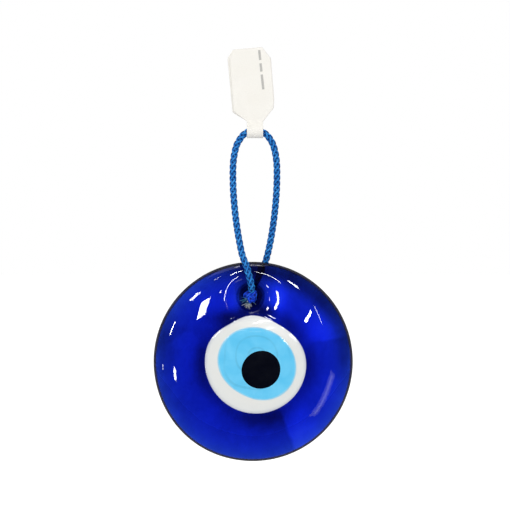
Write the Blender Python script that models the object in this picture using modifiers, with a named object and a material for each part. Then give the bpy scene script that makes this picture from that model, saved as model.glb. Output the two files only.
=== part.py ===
"""Evil eye ornament: a pressed glass eye disc on a braided cord loop, with a
folded paper label round the cord.

Metres, +Z up. The disc hangs in the XZ plane and its painted-looking front
faces -Y. The origin is the hanging point: the underside of the cord loop's
crown, where a hook or nail carries the ornament.
"""

import math

import bmesh
import bpy
from mathutils import Matrix, Vector

MM = 0.001

# ---------------------------------------------------------------- dimensions
GAP = 0.30 * MM                    # clearance between touching pieces

DISC_R = 30.0 * MM                 # disc outline radius
DISC_HALF = 3.75 * MM              # half thickness at the middle
BACK_PAD_R = 15.0 * MM             # flat pad on the back
DISC_X = -0.54 * MM                # disc centre
DISC_Z = -68.94 * MM

HOLE_X = -1.36 * MM                # the cord hole's axis, which runs along Y
HOLE_Z = -49.25 * MM
HOLE_R = 4.0 * MM                  # visible hole at the front
THROAT_R = 1.8 * MM                # narrowest, where the knot can't pass
FLARE_R = 9.5 * MM                 # radius of the pressed dimple round it
LIP_R = 4.6 * MM                   # radius of the rounded lip at the back

WHITE_X, WHITE_Z, WHITE_R = 0.30 * MM, -69.55 * MM, 15.45 * MM
IRIS_X, IRIS_Z, IRIS_R = 0.66 * MM, -69.30 * MM, 11.33 * MM
PUPIL_X, PUPIL_Z, PUPIL_R = 1.65 * MM, -70.88 * MM, 6.00 * MM

CORD_D = 1.90 * MM
CROWN_R = 5.20 * MM                # bend radius of the loop's crown
CROWN_Z = CORD_D / 2 - CROWN_R     # height of that bend's centre

KNOT = Vector((-1.30, -1.30, -49.10)) * MM
KNOT_RADII = Vector((2.10, 1.70, 1.90)) * MM

TAG_AXIS_Z = 0.62 * MM             # the neck loop turns about this line along X
TAG_W = 12.6 * MM                  # half-inch label
TAG_H = 22.0 * MM
TAG_T = 0.50 * MM                  # two leaves of card and their glue
TAG_LEAN = math.radians(4.5)       # the label leans to the left
NECK_W = 4.9 * MM
NECK_IN, NECK_OUT = 1.75 * MM, 2.10 * MM


# ------------------------------------------------------------------- helpers
for old in list(bpy.data.objects):
    bpy.data.objects.remove(old, do_unlink=True)

ORNAMENT = bpy.data.collections.new("evil_eye_ornament")
CUTTERS = bpy.data.collections.new("cutters")
bpy.context.scene.collection.children.link(ORNAMENT)
bpy.context.scene.collection.children.link(CUTTERS)


def material(name, colour, roughness, transmission=0.0):
    made = bpy.data.materials.new(name)
    made.use_nodes = True
    shader = made.node_tree.nodes["Principled BSDF"]
    shader.inputs["Base Color"].default_value = (*colour, 1.0)
    shader.inputs["Roughness"].default_value = roughness
    shader.inputs["Metallic"].default_value = 0.0
    shader.inputs["Transmission Weight"].default_value = transmission
    return made


def empty(name, location, rotation=(0.0, 0.0, 0.0)):
    made = bpy.data.objects.new(name, None)
    made.location = location
    made.rotation_euler = rotation
    made.empty_display_size = 0.004
    ORNAMENT.objects.link(made)
    return made


def add(name, mesh, parent, location=(0.0, 0.0, 0.0), finish=None):
    made = bpy.data.objects.new(name, mesh)
    made.parent = parent
    made.location = location
    ORNAMENT.objects.link(made)
    if finish:
        mesh.materials.append(finish)
    return made


def as_cutter(obj):
    ORNAMENT.objects.unlink(obj)
    CUTTERS.objects.link(obj)
    obj.hide_render = True
    obj.display_type = "WIRE"
    return obj


def cut(obj, cutter):
    boolean = obj.modifiers.new("cut_" + cutter.name, "BOOLEAN")
    boolean.operation = "DIFFERENCE"
    boolean.solver = "EXACT"
    boolean.object = cutter


def turned(name, profile, steps, parent, location=(0.0, 0.0, 0.0), finish=None):
    """A profile of (radius, z) from the top of the axis to its bottom, turned about Z."""
    mesh = bpy.data.meshes.new(name)
    form = bmesh.new()
    points = [form.verts.new((r, 0.0, z)) for r, z in profile]
    for a, b in zip(points, points[1:]):
        form.edges.new((a, b))
    form.to_mesh(mesh)
    form.free()
    made = add(name, mesh, parent, location, finish)
    screw = made.modifiers.new("turn", "SCREW")
    screw.axis = "Z"
    screw.steps = screw.render_steps = steps
    screw.use_merge_vertices = True
    screw.merge_threshold = 0.00001
    screw.use_normal_calculate = True
    return made


def lens(name, outline, dome, depth, segments, rings, parent, location, finish=None):
    """A pressed gob of glass: a ball flattened to dome above its widest ring and
    to depth below it, with its widest ring following outline(angle)."""
    mesh = bpy.data.meshes.new(name)
    form = bmesh.new()
    bmesh.ops.create_uvsphere(form, u_segments=segments, v_segments=rings, radius=1.0)
    for v in form.verts:
        flat = math.hypot(v.co.x, v.co.y)
        reach = outline(math.atan2(v.co.y, v.co.x)) if flat > 1e-6 else 0.0
        v.co.x *= reach
        v.co.y *= reach
        v.co.z *= dome if v.co.z > 0 else depth
    form.to_mesh(mesh)
    form.free()
    for face in mesh.polygons:
        face.use_smooth = True
    return add(name, mesh, parent, location, finish)


# ------------------------------------------------------------------ materials
COBALT = material("cobalt_glass", (0.010, 0.025, 0.42), 0.03, 0.6)
WHITE = material("white_glass", (0.86, 0.84, 0.81), 0.10)
SKY = material("light_blue_glass", (0.13, 0.55, 0.86), 0.08)
BLACK = material("black_glass", (0.002, 0.003, 0.010), 0.05)
BRAID = material("blue_cord", (0.02, 0.12, 0.52), 0.75)
PAPER = material("white_paper", (0.93, 0.91, 0.86), 0.85)


# ----------------------------------------------------------------- glass disc
# The disc is modelled lying on its back: local +Z is its front, +Y is up, and
# the empty's origin is on the hole's axis, which is the axis it swings about.
disc_axis = empty("disc_axis", (HOLE_X, 0.0, HOLE_Z), (math.radians(90), 0.0, 0.0))
CX = DISC_X - HOLE_X
CY = DISC_Z - HOLE_Z


def front_dome(r):
    """A low quartic dome that rolls over into the rim."""
    return DISC_HALF * math.sqrt(max(0.0, 1 - (r / DISC_R) ** 4))


def back_dome(r):
    """The back: flat on its pad, then rounding up to the rim."""
    t = max(0.0, r - BACK_PAD_R) / (DISC_R - BACK_PAD_R)
    return DISC_HALF * math.sqrt(max(0.0, 1 - t**2.5))


def disc_profile():
    steps = 12
    outward = [DISC_R * math.sin(math.radians(90 * k / steps)) for k in range(steps + 1)]
    front = [(r, front_dome(r)) for r in outward]
    back = []
    for k in range(7):
        r = BACK_PAD_R + (DISC_R - BACK_PAD_R) * math.sin(math.radians(90 * k / 7))
        back.append((r, -back_dome(r)))
    back.sort(key=lambda point: -point[0])
    return front + back + [(0.0, -DISC_HALF)]


def hole_profile():
    """The hole: a wide pressed dimple, a round mouth, a seat for the knot, a
    narrow throat, and a rounded lip at the back."""
    points = [(0.0, 6 * MM), (FLARE_R, 6 * MM)]
    mouth_z, throat_z = 1.0 * MM, -0.95 * MM
    for k in range(0, 7):
        a = math.radians(90 * k / 6)
        points.append(
            (
                FLARE_R - (FLARE_R - HOLE_R) * math.sin(a),
                mouth_z + (DISC_HALF - mouth_z) * math.cos(a),
            )
        )
    for k in range(1, 4):
        t = k / 4
        ease = t * t * (3 - 2 * t)
        points.append((HOLE_R + (THROAT_R - HOLE_R) * ease, mouth_z + (throat_z - mouth_z) * t))
    for k in range(0, 6):
        a = math.radians(90 * k / 5)
        points.append(
            (
                LIP_R - (LIP_R - THROAT_R) * math.cos(a),
                throat_z - (DISC_HALF + throat_z) * math.sin(a),
            )
        )
    points += [(LIP_R, -6 * MM), (0.0, -6 * MM)]
    return points


glass_disc = turned("glass_disc", disc_profile(), 56, disc_axis, (CX, CY, 0.0), COBALT)
hole_cutter = as_cutter(turned("hole_cutter", hole_profile(), 32, disc_axis))
cut(glass_disc, hole_cutter)


# ------------------------------------------------------------------- the eye
def white_outline(a):
    """Round, with a long flat at the upper right, a short one at the upper left,
    and so a blunt point between them, under the hole."""
    return WHITE_R + MM * (
        0.80 * math.sin(a) - 2.5 * hollow(a, 63, 42) - 1.45 * hollow(a, 122, 22)
        - 0.12 * math.cos(2 * a)
    )


def hollow(a, middle, width):
    """1 at the middle angle, falling to nothing over the width, in degrees."""
    off = (math.degrees(a) - middle + 180) % 360 - 180
    return math.exp(-((off / width) ** 2))


def iris_outline(a):
    """An oval lying from the upper left to the lower right."""
    return IRIS_R + MM * (0.80 * math.cos(2 * (a - math.radians(152))) - 0.12 * math.cos(3 * a))


def pupil_outline(a):
    return PUPIL_R + 0.06 * MM * math.cos(2 * a)


def wider(outline):
    return lambda a: outline(a) + GAP


LAYERS = (
    # name, outline, x, z, level of its widest ring, dome, depth, segments, rings, finish
    ("eye_white", white_outline, WHITE_X, WHITE_Z, 3.50, 0.50, 3.20, 48, 12, WHITE),
    ("iris", iris_outline, IRIS_X, IRIS_Z, 3.82, 0.35, 1.90, 36, 10, SKY),
    ("pupil", pupil_outline, PUPIL_X, PUPIL_Z, 4.07, 0.25, 1.10, 28, 8, BLACK),
)
holder = glass_disc
for name, outline, x, z, level, dome, depth, segments, rings, finish in LAYERS:
    place = (x - HOLE_X, z - HOLE_Z, level * MM)
    pocket = as_cutter(
        lens(
            name + "_pocket", wider(outline), 4 * MM, depth * MM + GAP, segments, rings,
            disc_axis, place,
        )
    )
    cut(holder, pocket)
    holder = lens(
        name, outline, dome * MM, depth * MM, segments, rings, disc_axis, place, finish
    )


# ------------------------------------------------------------------ the cord
def crown_point(degrees):
    a = math.radians(degrees)
    return Vector((CROWN_R * math.sin(a), 0.0, CROWN_Z + CROWN_R * math.cos(a)))


# Half width of the loop at each height below its crown, in millimetres.
STRAND = (
    (5.40, -3.20), (5.90, -4.80), (6.33, -6.90), (6.60, -9.40), (6.66, -12.9),
    (6.52, -17.7), (6.14, -22.5), (5.56, -27.4), (4.78, -32.2), (3.72, -37.1),
)
FRONT_RUN = (
    (-2.60, -4.30, -39.9), (-1.85, -4.48, -42.6), (-1.30, -4.40, -44.7), (-1.02, -3.86, -46.3),
)
BACK_RUN = (
    (2.85, 4.70, -39.9), (1.90, 5.00, -42.3), (0.80, 5.10, -44.4), (-0.25, 4.92, -46.3),
    (-0.95, 4.20, -47.9), (-1.26, 2.95, -48.95),
)


def strand_side(x_sign, y_sign):
    points = []
    for half, z in STRAND:
        lean = max(0.0, (-2.0 - z) / 37.5)
        points.append(Vector((x_sign * half, y_sign * 4.28 * lean, z)) * MM)
    return points


def knot_end(towards):
    """Where the cord meets the knot, on the line from the knot's middle."""
    away = (towards - KNOT).normalized()
    reach = 1 / math.sqrt(sum((away[i] / KNOT_RADII[i]) ** 2 for i in range(3)))
    return KNOT + away * (reach + GAP + 0.05 * MM)


def cord_route():
    front = [Vector(p) * MM for p in FRONT_RUN]
    back = [Vector(p) * MM for p in BACK_RUN]
    start = knot_end(front[-1])
    finish = knot_end(back[-1])
    left = strand_side(-1, -1)
    right = strand_side(1, 1)
    crown = [crown_point(a) for a in range(-60, 61, 12)]
    return [start] + front[::-1] + left[::-1] + crown + right + back + [finish]


def smooth_samples(keys, count):
    """Evenly spaced points on the centripetal Catmull-Rom curve through keys."""
    first = keys[0] * 2 - keys[1]
    last = keys[-1] * 2 - keys[-2]
    keys = [first] + list(keys) + [last]
    fine = []
    for p0, p1, p2, p3 in zip(keys, keys[1:], keys[2:], keys[3:]):
        t1 = (p1 - p0).length ** 0.5
        t2 = t1 + (p2 - p1).length ** 0.5
        t3 = t2 + (p3 - p2).length ** 0.5
        for k in range(24):
            t = t1 + (t2 - t1) * k / 24
            a1 = p0 * ((t1 - t) / t1) + p1 * (t / t1)
            a2 = p1 * ((t2 - t) / (t2 - t1)) + p2 * ((t - t1) / (t2 - t1))
            a3 = p2 * ((t3 - t) / (t3 - t2)) + p3 * ((t - t2) / (t3 - t2))
            b1 = a1 * ((t2 - t) / t2) + a2 * (t / t2)
            b2 = a2 * ((t3 - t) / (t3 - t1)) + a3 * ((t - t1) / (t3 - t1))
            fine.append(b1 * ((t2 - t) / (t2 - t1)) + b2 * ((t - t1) / (t2 - t1)))
    fine.append(keys[-2])
    lengths = [0.0]
    for a, b in zip(fine, fine[1:]):
        lengths.append(lengths[-1] + (b - a).length)
    samples, at = [], 0
    for k in range(count):
        want = lengths[-1] * k / (count - 1)
        while at < len(lengths) - 2 and lengths[at + 1] < want:
            at += 1
        span = lengths[at + 1] - lengths[at]
        samples.append(fine[at].lerp(fine[at + 1], (want - lengths[at]) / span))
    return samples


curve = bpy.data.curves.new("hanging_cord", "CURVE")
curve.dimensions = "3D"
curve.bevel_depth = CORD_D / 2
curve.bevel_resolution = 2
curve.use_fill_caps = True
route = smooth_samples(cord_route(), 78)
spline = curve.splines.new("POLY")
spline.points.add(len(route) - 1)
for point, place in zip(spline.points, route):
    point.co = (*place, 1.0)
curve.materials.append(BRAID)
ORNAMENT.objects.link(bpy.data.objects.new("hanging_cord", curve))


# A lumpy ball the size of the tied knot.
knot_mesh = bpy.data.meshes.new("cord_knot")
form = bmesh.new()
bmesh.ops.create_uvsphere(form, u_segments=20, v_segments=12, radius=1.0)
for v in form.verts:
    lump = 1 - 0.05 * (1 - math.cos(3 * math.atan2(v.co.y, v.co.x) + 2 * v.co.z)) / 2
    v.co = Vector((v.co[i] * KNOT_RADII[i] * lump for i in range(3)))
form.to_mesh(knot_mesh)
form.free()
add("cord_knot", knot_mesh, None, KNOT, BRAID)


# ----------------------------------------------------------------- the label
# tag_slide turns the label round the crown's bend; tag_swing flips it about
# the cord itself.
slide_axis = empty("tag_slide_axis", (0.0, 0.0, CROWN_Z))
swing_axis = empty("tag_swing_axis", (0.0, 0.0, TAG_AXIS_Z))

# The neck of the label, wrapped round the cord: a short paper sleeve along X.
ring = (
    (NECK_OUT, NECK_W / 2), (NECK_OUT, -NECK_W / 2), (NECK_IN, -NECK_W / 2), (NECK_IN, NECK_W / 2),
)
sleeve_mesh = bpy.data.meshes.new("tag_neck_loop")
form = bmesh.new()
corners = [form.verts.new((r, 0.0, z)) for r, z in ring]
for k in range(4):
    form.edges.new((corners[k], corners[(k + 1) % 4]))
form.to_mesh(sleeve_mesh)
form.free()
sleeve = add(
    "tag_neck_loop", sleeve_mesh, slide_axis, (0.0, 0.0, TAG_AXIS_Z - CROWN_Z), PAPER
)
sleeve.rotation_euler = (0.0, math.radians(90), 0.0)
screw = sleeve.modifiers.new("turn", "SCREW")
screw.axis = "Z"
screw.steps = screw.render_steps = 28
screw.use_merge_vertices = True
screw.merge_threshold = 0.00001
screw.use_normal_calculate = True
screw.use_normal_flip = True


def label_outline():
    """The two leaves and the neck below them, seen from the front, from the
    swing axis upwards, with cut corners."""
    half, corner, foot = TAG_W / 2, 2.4 * MM, 3.3 * MM
    base = 3.2 * MM
    top = base + TAG_H
    leaf = [
        (half * 0.42, base), (half - 0.4 * MM, base + foot), (half, base + foot + 2.6 * MM),
        (half, top - corner - 1.2 * MM), (half - corner, top), (-half + corner * 0.8, top),
        (-half, top - corner), (-half, base + foot), (-half * 0.42, base),
    ]
    turn = Matrix.Rotation(TAG_LEAN, 2)
    pivot = Vector((0.0, base))
    leaned = [pivot + turn @ (Vector(p) - pivot) for p in leaf]
    neck = NECK_W / 2
    stub = NECK_OUT + GAP
    return [(-neck, stub), (neck, stub), (neck, base - 0.1 * MM)] + [
        (p.x, p.y) for p in leaned
    ] + [(-neck, base - 0.1 * MM)]


flat = bpy.data.curves.new("tag_leaves", "CURVE")
flat.dimensions = "2D"
flat.fill_mode = "BOTH"
flat.extrude = TAG_T / 2
outline = label_outline()
spline = flat.splines.new("POLY")
spline.points.add(len(outline) - 1)
spline.use_cyclic_u = True
for point, (x, y) in zip(spline.points, outline):
    point.co = (x, y, 0.0, 1.0)
flat.materials.append(PAPER)
leaves = bpy.data.objects.new("tag_leaves", flat)
leaves.parent = swing_axis
leaves.rotation_euler = (math.radians(90), 0.0, 0.0)
ORNAMENT.objects.link(leaves)

for piece in ORNAMENT.objects:
    if piece.type == "MESH":
        for face in piece.data.polygons:
            face.use_smooth = True
        if not piece.modifiers:
            piece.data.set_sharp_from_angle(angle=math.radians(35))
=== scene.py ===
"""Looks of the evil eye ornament: pressed cobalt glass with an inlaid eye, a
braided cord with its knot, and a folded paper label. Metres, +Z up, front -Y."""

import math

import bpy
import numpy as np
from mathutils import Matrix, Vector, noise


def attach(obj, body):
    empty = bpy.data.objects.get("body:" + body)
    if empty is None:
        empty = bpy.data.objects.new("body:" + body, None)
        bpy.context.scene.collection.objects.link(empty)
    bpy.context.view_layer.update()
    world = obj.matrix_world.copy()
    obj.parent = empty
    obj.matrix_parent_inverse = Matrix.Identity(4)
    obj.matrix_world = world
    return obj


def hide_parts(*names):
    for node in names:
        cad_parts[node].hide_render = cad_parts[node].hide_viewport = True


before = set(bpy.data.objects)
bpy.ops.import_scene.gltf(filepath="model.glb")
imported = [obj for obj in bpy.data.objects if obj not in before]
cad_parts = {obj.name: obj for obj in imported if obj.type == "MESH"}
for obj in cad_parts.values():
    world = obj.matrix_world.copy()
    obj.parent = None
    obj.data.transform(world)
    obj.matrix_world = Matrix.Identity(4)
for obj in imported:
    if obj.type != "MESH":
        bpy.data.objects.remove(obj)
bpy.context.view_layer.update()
scene = bpy.context.scene
scene.view_settings.view_transform = "Standard"
scene.view_settings.look = "None"
MM = 0.001

# ------------------------------------------------------------- shared numbers
DISC_R, DISC_HALF, PAD_R = 30.0, 3.75, 15.0
DISC = np.array([-0.54, -68.94])          # x, z of the disc's centre, mm
HOLE = np.array([-1.36, -49.25])          # x, z of the hole's axis, mm
HOLE_R, THROAT_R, FLARE_R, LIP_R = 4.0, 1.8, 13.2, 4.6
MOUTH_Y, THROAT_Y, WHITE_LEVEL = 0.75, 0.95, 3.60
DIMPLE_SHIFT = 2.2                         # the dimple runs further out on the right
WHITE_C, WHITE_R = np.array([0.30, -69.55]), 15.45
IRIS_C, IRIS_R = np.array([0.66, -69.30]), 11.33
PUPIL_C, PUPIL_R = np.array([1.65, -70.88]), 6.00
CORD_D, CROWN_R = 1.90, 5.20
CROWN_Z = CORD_D / 2 - CROWN_R
KNOT, KNOT_RADII = np.array([-1.30, -1.30, -49.10]), np.array([2.10, 1.70, 1.90])
TAG_AXIS_Z, TAG_W, TAG_H, TAG_LEAN, NECK_W = 0.62, 12.6, 22.0, math.radians(4.5), 4.9

# ---------------------------------------------------------------- the camera
PX = 0.3025                                # mm per pixel at the disc, 510 wide
camera_data = bpy.data.cameras.new("camera")
camera_data.lens = 100.0
camera_data.sensor_width = 36.0
camera_data.clip_start = 0.01
camera = bpy.data.objects.new("camera", camera_data)
scene.collection.objects.link(camera)
CAMERA = Vector((0.0, -510 * PX * 100 / 36, (133.5 - 255.0) * PX)) * MM
camera.location = CAMERA
camera.rotation_euler = (math.radians(90), 0.0, 0.0)
scene.camera = camera


# ------------------------------------------------------------- mesh utilities
def mesh_object(name, verts, faces, smooth=True, uvs=None):
    """verts in mm (n,3); faces (m,4) or (m,3); uvs per face corner (m,k,2)."""
    mesh = bpy.data.meshes.new(name)
    verts = np.asarray(verts, float) * MM
    sizes = [len(f) for f in faces]
    flat = np.concatenate([np.asarray(f, np.int32) for f in faces]) if not isinstance(
        faces, np.ndarray
    ) else faces.reshape(-1).astype(np.int32)
    mesh.vertices.add(len(verts))
    mesh.vertices.foreach_set("co", verts.astype(np.float32).reshape(-1))
    mesh.loops.add(len(flat))
    mesh.loops.foreach_set("vertex_index", flat)
    mesh.polygons.add(len(sizes))
    starts = np.concatenate([[0], np.cumsum(sizes)[:-1]]).astype(np.int32)
    mesh.polygons.foreach_set("loop_start", starts)
    mesh.polygons.foreach_set("use_smooth", np.full(len(sizes), smooth))
    mesh.update(calc_edges=True)
    mesh.validate()
    if uvs is not None:
        layer = mesh.uv_layers.new(name="UVMap")
        layer.data.foreach_set("uv", np.asarray(uvs, np.float32).reshape(-1))
    made = bpy.data.objects.new(name, mesh)
    scene.collection.objects.link(made)
    return made


def grid_faces(rows, columns, wrap_rows=False, wrap_columns=True):
    """Quads over a (rows, columns) grid of points."""
    r = np.arange(rows if wrap_rows else rows - 1)
    c = np.arange(columns if wrap_columns else columns - 1)
    r, c = np.meshgrid(r, c, indexing="ij")
    r2, c2 = (r + 1) % rows, (c + 1) % columns
    quads = np.stack([r * columns + c, r * columns + c2, r2 * columns + c2, r2 * columns + c], -1)
    return quads.reshape(-1, 4)


def ripple(x, z, seed, size):
    """Smooth noise over the disc, about -1 to 1, at arrays of points in mm."""
    out = np.empty(x.size)
    for i, (a, b) in enumerate(zip(x.reshape(-1) / size, z.reshape(-1) / size)):
        out[i] = noise.noise(Vector((a, b, seed)))
    return out.reshape(x.shape)


# --------------------------------------------------------------- node helpers
def new_material(name):
    made = bpy.data.materials.new(name)
    made.use_nodes = True
    tree = made.node_tree
    return made, tree, tree.nodes["Principled BSDF"]


def node(tree, kind, **inputs):
    made = tree.nodes.new(kind)
    for key, value in inputs.items():
        made.inputs[key.replace("_", " ")].default_value = value
    return made


def ramp(tree, source, stops, interpolation="LINEAR"):
    made = tree.nodes.new("ShaderNodeValToRGB")
    made.color_ramp.interpolation = interpolation
    elements = made.color_ramp.elements
    while len(elements) < len(stops):
        elements.new(0.5)
    for element, (at, colour) in zip(elements, stops):
        element.position = at
        element.color = (*colour, 1.0) if len(colour) == 3 else colour
    tree.links.new(source, made.inputs[0])
    return made


def object_coords(tree, scale=(1, 1, 1), location=(0, 0, 0)):
    coords = tree.nodes.new("ShaderNodeTexCoord")
    mapping = tree.nodes.new("ShaderNodeMapping")
    mapping.inputs["Scale"].default_value = scale
    mapping.inputs["Location"].default_value = location
    tree.links.new(coords.outputs["Object"], mapping.inputs["Vector"])
    return mapping.outputs["Vector"]


def noise_node(tree, vector, scale, detail=3.0, roughness=0.5, distortion=0.0):
    made = tree.nodes.new("ShaderNodeTexNoise")
    made.inputs["Scale"].default_value = scale
    made.inputs["Detail"].default_value = detail
    made.inputs["Roughness"].default_value = roughness
    made.inputs["Distortion"].default_value = distortion
    tree.links.new(vector, made.inputs["Vector"])
    return made


def maths(tree, operation, a, b=None):
    made = tree.nodes.new("ShaderNodeMath")
    made.operation = operation
    for i, value in enumerate((a, b)):
        if value is None:
            continue
        if isinstance(value, (int, float)):
            made.inputs[i].default_value = value
        else:
            tree.links.new(value, made.inputs[i])
    return made.outputs[0]


def mix_colour(tree, factor, a, b, blend="MIX"):
    made = tree.nodes.new("ShaderNodeMix")
    made.data_type = "RGBA"
    made.blend_type = blend
    sockets = [s for s in made.inputs if s.type == "RGBA"]
    for socket, value in zip(sockets, (a, b)):
        if isinstance(value, tuple):
            socket.default_value = (*value, 1.0)
        else:
            tree.links.new(value, socket)
    if isinstance(factor, (int, float)):
        made.inputs[0].default_value = factor
    else:
        tree.links.new(factor, made.inputs[0])
    return [s for s in made.outputs if s.type == "RGBA"][0]


def bump(tree, height, strength, distance, normal=None):
    made = tree.nodes.new("ShaderNodeBump")
    made.inputs["Strength"].default_value = strength
    made.inputs["Distance"].default_value = distance
    tree.links.new(height, made.inputs["Height"])
    if normal is not None:
        tree.links.new(normal, made.inputs["Normal"])
    return made.outputs["Normal"]


# ------------------------------------------------------------------ materials
# Lighter (+) and darker (-) patches in the cobalt's tint, centre x, z, reach x, z, in mm: lighter is partly uneven
# glass, partly painted inner light; darker is painted shade at the rim and round the eye.
TONE = 0.455
SPOTS = (
    ((-14.5, -51.0), (6.0, 4.5), 0.12), ((7.2, -50.0), (2.6, 4.6), 0.46),
    ((-6.6, -50.5), (1.9, 4.2), 0.22), ((18.0, -57.0), (5.0, 7.0), 0.16),
    ((-3.0, -95.0), (16.0, 4.5), 0.07), ((-4.0, -88.0), (9.0, 2.6), -0.08),
    ((-27.6, -61.0), (4.5, 10.0), -0.20), ((-14.7, -44.3), (5.0, 4.0), -0.12), ((-15.0, -90.0), (10.0, 6.0), 0.06),
    ((-1.0, -42.5), (8.0, 3.0), -0.08), ((-16.5, -67.0), (2.6, 9.0), -0.18),
    ((-8.5, -55.5), (6.0, 2.2), -0.22), ((18.5, -69.0), (3.6, 6.0), -0.04),
    ((3.0, -87.0), (7.0, 2.6), -0.14), ((3.0, -54.0), (3.5, 1.8), -0.20),
    ((22.5, -80.0), (4.0, 9.0), 0.12),
    ((26.5, -69.0), (2.6, 5.0), -0.16), ((8.5, -85.5), (4.0, 3.0), -0.10),
)


# Folds where one lap of glass meets the next, each lighter on one side, partly the glass's own tone and partly painted
# inner light:
# a point on the fold, the side it brightens towards, the lap's middle and reach, in mm, and the step in tone.
FOLDS = (
    ((7.8, -84.9), (0.928, 0.372), (13.5, -90.0), (6.5, 7.0), 0.34),
    ((14.8, -63.8), (-0.183, 0.983), (21.0, -60.5), (6.0, 5.0), 0.20),
    ((-20.5, -58.0), (0.80, -0.60), (-17.5, -62.5), (5.5, 6.0), 0.10),
)


def blob(tree, centre, reach):
    """A soft spot on the disc, 1 at the centre (x, z, in mm) and gone past its reach."""
    scale = (1000.0 / reach[0], 0.0, 1000.0 / reach[1])
    place = object_coords(tree, scale, (-centre[0] / reach[0], 0.0, -centre[1] / reach[1]))
    length = tree.nodes.new("ShaderNodeVectorMath")
    length.operation = "LENGTH"
    tree.links.new(place, length.inputs[0])
    squared = maths(tree, "MULTIPLY", length.outputs["Value"], length.outputs["Value"])
    return maths(tree, "EXPONENT", maths(tree, "MULTIPLY", squared, -1.0))


def band(tree, source, low, high):
    """0 below low, 1 above high (or the other way round), eased between."""
    made = tree.nodes.new("ShaderNodeMapRange")
    made.interpolation_type = "SMOOTHSTEP"
    made.inputs["From Min"].default_value = low
    made.inputs["From Max"].default_value = high
    tree.links.new(source, made.inputs["Value"])
    return made.outputs["Result"]


def cobalt_glass():
    """Deep blue pressed glass; its tint carries painted shade at the upper rim, round the eye and
    in the cord hole, and is lighter, partly with painted light, along its folds, in the thin lobes beside the hole and
    low on the disc."""
    made, tree, shader = new_material("cobalt_glass")
    place = object_coords(tree)
    cloud = noise_node(tree, place, 120.0, 3.0, 0.5, 0.9)
    streaks = noise_node(tree, object_coords(tree, (1.0, 1.0, 0.45)), 420.0, 3.0, 0.6, 1.4)
    tone = maths(tree, "ADD", TONE, maths(tree, "MULTIPLY", maths(tree, "SUBTRACT", cloud.outputs["Fac"], 0.5), 0.34))
    tone = maths(tree, "ADD", tone, maths(tree, "MULTIPLY", maths(tree, "SUBTRACT", streaks.outputs["Fac"], 0.5), 0.14))
    # painted light and shade patches in the tint, over the uneven tone
    for centre, reach, weight in SPOTS:
        tone = maths(tree, "ADD", tone, maths(tree, "MULTIPLY", blob(tree, centre, reach), weight))
    r = maths(tree, "MULTIPLY", radial(tree, DISC), 1000.0)
    coords = tree.nodes.new("ShaderNodeTexCoord")
    split = tree.nodes.new("ShaderNodeSeparateXYZ")
    tree.links.new(coords.outputs["Object"], split.inputs[0])

    def towards(point, way):
        """Signed distance in mm past a line through the point, in the x-z plane."""
        return maths(tree, "ADD",
                     maths(tree, "MULTIPLY", maths(tree, "SUBTRACT", split.outputs["X"], point[0] * MM), 1000 * way[0]),
                     maths(tree, "MULTIPLY", maths(tree, "SUBTRACT", split.outputs["Z"], point[1] * MM), 1000 * way[1]))

    uneven = maths(tree, "MULTIPLY", maths(tree, "SUBTRACT", cloud.outputs["Fac"], 0.5), 2.5)
    for point, way, centre, reach, step in FOLDS:
        side = maths(tree, "ADD", towards(point, way), uneven)
        lap = maths(tree, "MULTIPLY", band(tree, side, -0.5, 0.8), blob(tree, centre, reach))
        tone = maths(tree, "ADD", tone, maths(tree, "MULTIPLY", lap, step))
    # painted shade: a darker band round the upper and right rim
    upper = towards((0.0, float(DISC[1])), (math.cos(math.radians(58)), math.sin(math.radians(58))))
    rim = maths(tree, "MULTIPLY", band(tree, r, 22.5, 27.5), band(tree, upper, 12.0, 24.0))
    tone = maths(tree, "ADD", tone, maths(tree, "MULTIPLY", rim, -0.34))
    # painted shadow of the eye: darker glass in a ring round it
    painted_eye_shadow = band(tree, maths(tree, "MULTIPLY", radial(tree, WHITE_C), 1000.0), 19.5, 15.5)
    tone = maths(tree, "ADD", tone, maths(tree, "MULTIPLY", painted_eye_shadow, -0.17))
    # painted shade on the walls of the cord hole and in a ring round its mouth
    rho = maths(tree, "MULTIPLY", radial(tree, HOLE), 1000.0)
    tone = maths(tree, "ADD", tone, maths(tree, "MULTIPLY", band(tree, rho, 4.7, 3.9), -0.36))
    tone = maths(tree, "ADD", tone, maths(tree, "MULTIPLY", band(tree, rho, 7.0, 4.2), -0.12))
    tint = ramp(
        tree, tone,
        [(0.0, (0.002, 0.005, 0.035)), (0.22, (0.018, 0.050, 0.19)), (0.48, (0.050, 0.140, 0.52)),
         (0.75, (0.095, 0.23, 0.88)), (1.0, (0.28, 0.48, 1.0))],
    )
    tree.links.new(tint.outputs["Color"], shader.inputs["Base Color"])
    shader.inputs["Transmission Weight"].default_value = 1.0
    shader.inputs["IOR"].default_value = 1.52
    fine = noise_node(tree, place, 900.0, 2.0)
    gloss = ramp(tree, fine.outputs["Fac"], [(0.3, (0.006,) * 3), (0.8, (0.020,) * 3)])
    tree.links.new(gloss.outputs["Color"], shader.inputs["Roughness"])
    wavy = noise_node(tree, place, 220.0, 1.0)
    tree.links.new(bump(tree, wavy.outputs["Fac"], 0.02, 0.0003), shader.inputs["Normal"])
    volume = tree.nodes.new("ShaderNodeVolumeAbsorption")
    volume.inputs["Color"].default_value = (0.12, 0.29, 0.92, 1.0)
    volume.inputs["Density"].default_value = 560.0
    output = [n for n in tree.nodes if n.type == "OUTPUT_MATERIAL"][0]
    tree.links.new(volume.outputs["Volume"], output.inputs["Volume"])
    return made


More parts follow.
